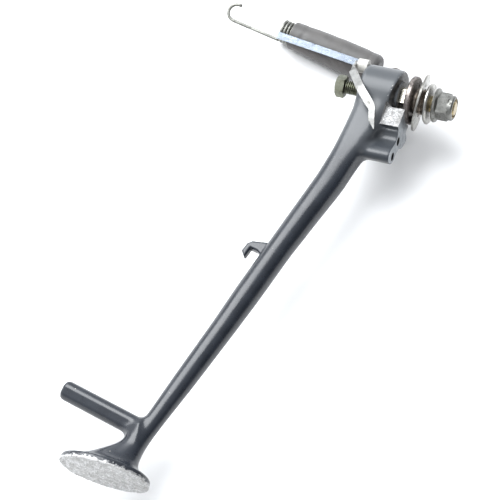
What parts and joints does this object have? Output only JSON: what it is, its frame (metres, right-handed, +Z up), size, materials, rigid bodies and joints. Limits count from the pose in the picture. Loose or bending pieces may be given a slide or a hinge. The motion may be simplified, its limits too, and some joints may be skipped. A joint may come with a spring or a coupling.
{
  "type": "kickstand",
  "caption": "Motorcycle side stand: tapered leg with pivot boss, oval ground plate, kick peg, sprung return hook under a rubber boot, and a loose pivot pin stack.",
  "frame": {"origin": "on the pivot axis, at the inboard face of the leg's pivot boss", "axes": "+X along the pivot axis towards the machine, -Y down the leg towards the ground plate, +Z up off the bench that the stand lies on"},
  "size_m": [0.1921, 0.3892, 0.0532],
  "materials": {
    "black_paint": "semi-gloss black paint with worn satin patches",
    "bare_casting": "rough bare metal with chipped paint at the rim",
    "bright_steel": "ground steel",
    "dark_steel": "oiled dark steel",
    "zinc_plate": "bright zinc plate",
    "nut_zinc": "dull zinc plate",
    "olive_zinc": "olive zinc plate",
    "nylon": "aged nylon",
    "bronze": "sintered bronze",
    "black_rubber": "matt rubber",
    "post_white": "off-white moulding",
    "spring_steel": "dark spring wire"
  },
  "bodies": {
    "root": {"pivot_pin": "bright_steel", "thrust_washer": "dark_steel", "grooved_spacer": "dark_steel", "thin_washer": "zinc_plate", "plain_washer": "zinc_plate", "flange_lock_nut": "nut_zinc", "nut_locking_ring": "nylon", "retaining_screw": "olive_zinc", "keeper_washer": "zinc_plate"},
    "leg": {"leg_forging": "black_paint", "sole_plate": "bare_casting", "kick_peg": "black_paint", "catch_hook": "black_paint", "bush_outboard": "bronze", "bush_inboard": "bronze", "seal_outboard": "black_rubber", "seal_inboard": "black_rubber", "post_pin": "zinc_plate", "post_sleeve": "post_white", "post_collar": "post_white", "guide_strap": "zinc_plate", "anchor_stud": "dark_steel"},
    "spring": {"return_spring": "spring_steel", "rubber_boot": "black_rubber", "boot_stay": "zinc_plate"}
  },
  "joints": [
    {"name": "leg_pivot", "type": "hinge", "parent": "root", "child": "leg", "pos_m": [0, 0, 0], "axis": [1, 0, 0], "range_deg": [-105, 0]},
    {"name": "spring_swing", "type": "hinge", "parent": "leg", "child": "spring", "pos_m": [-0.01725, 0.02755, -0.01934], "axis": [0, 0.8185, -0.5745], "range_deg": [-8, 60]}
  ]
}
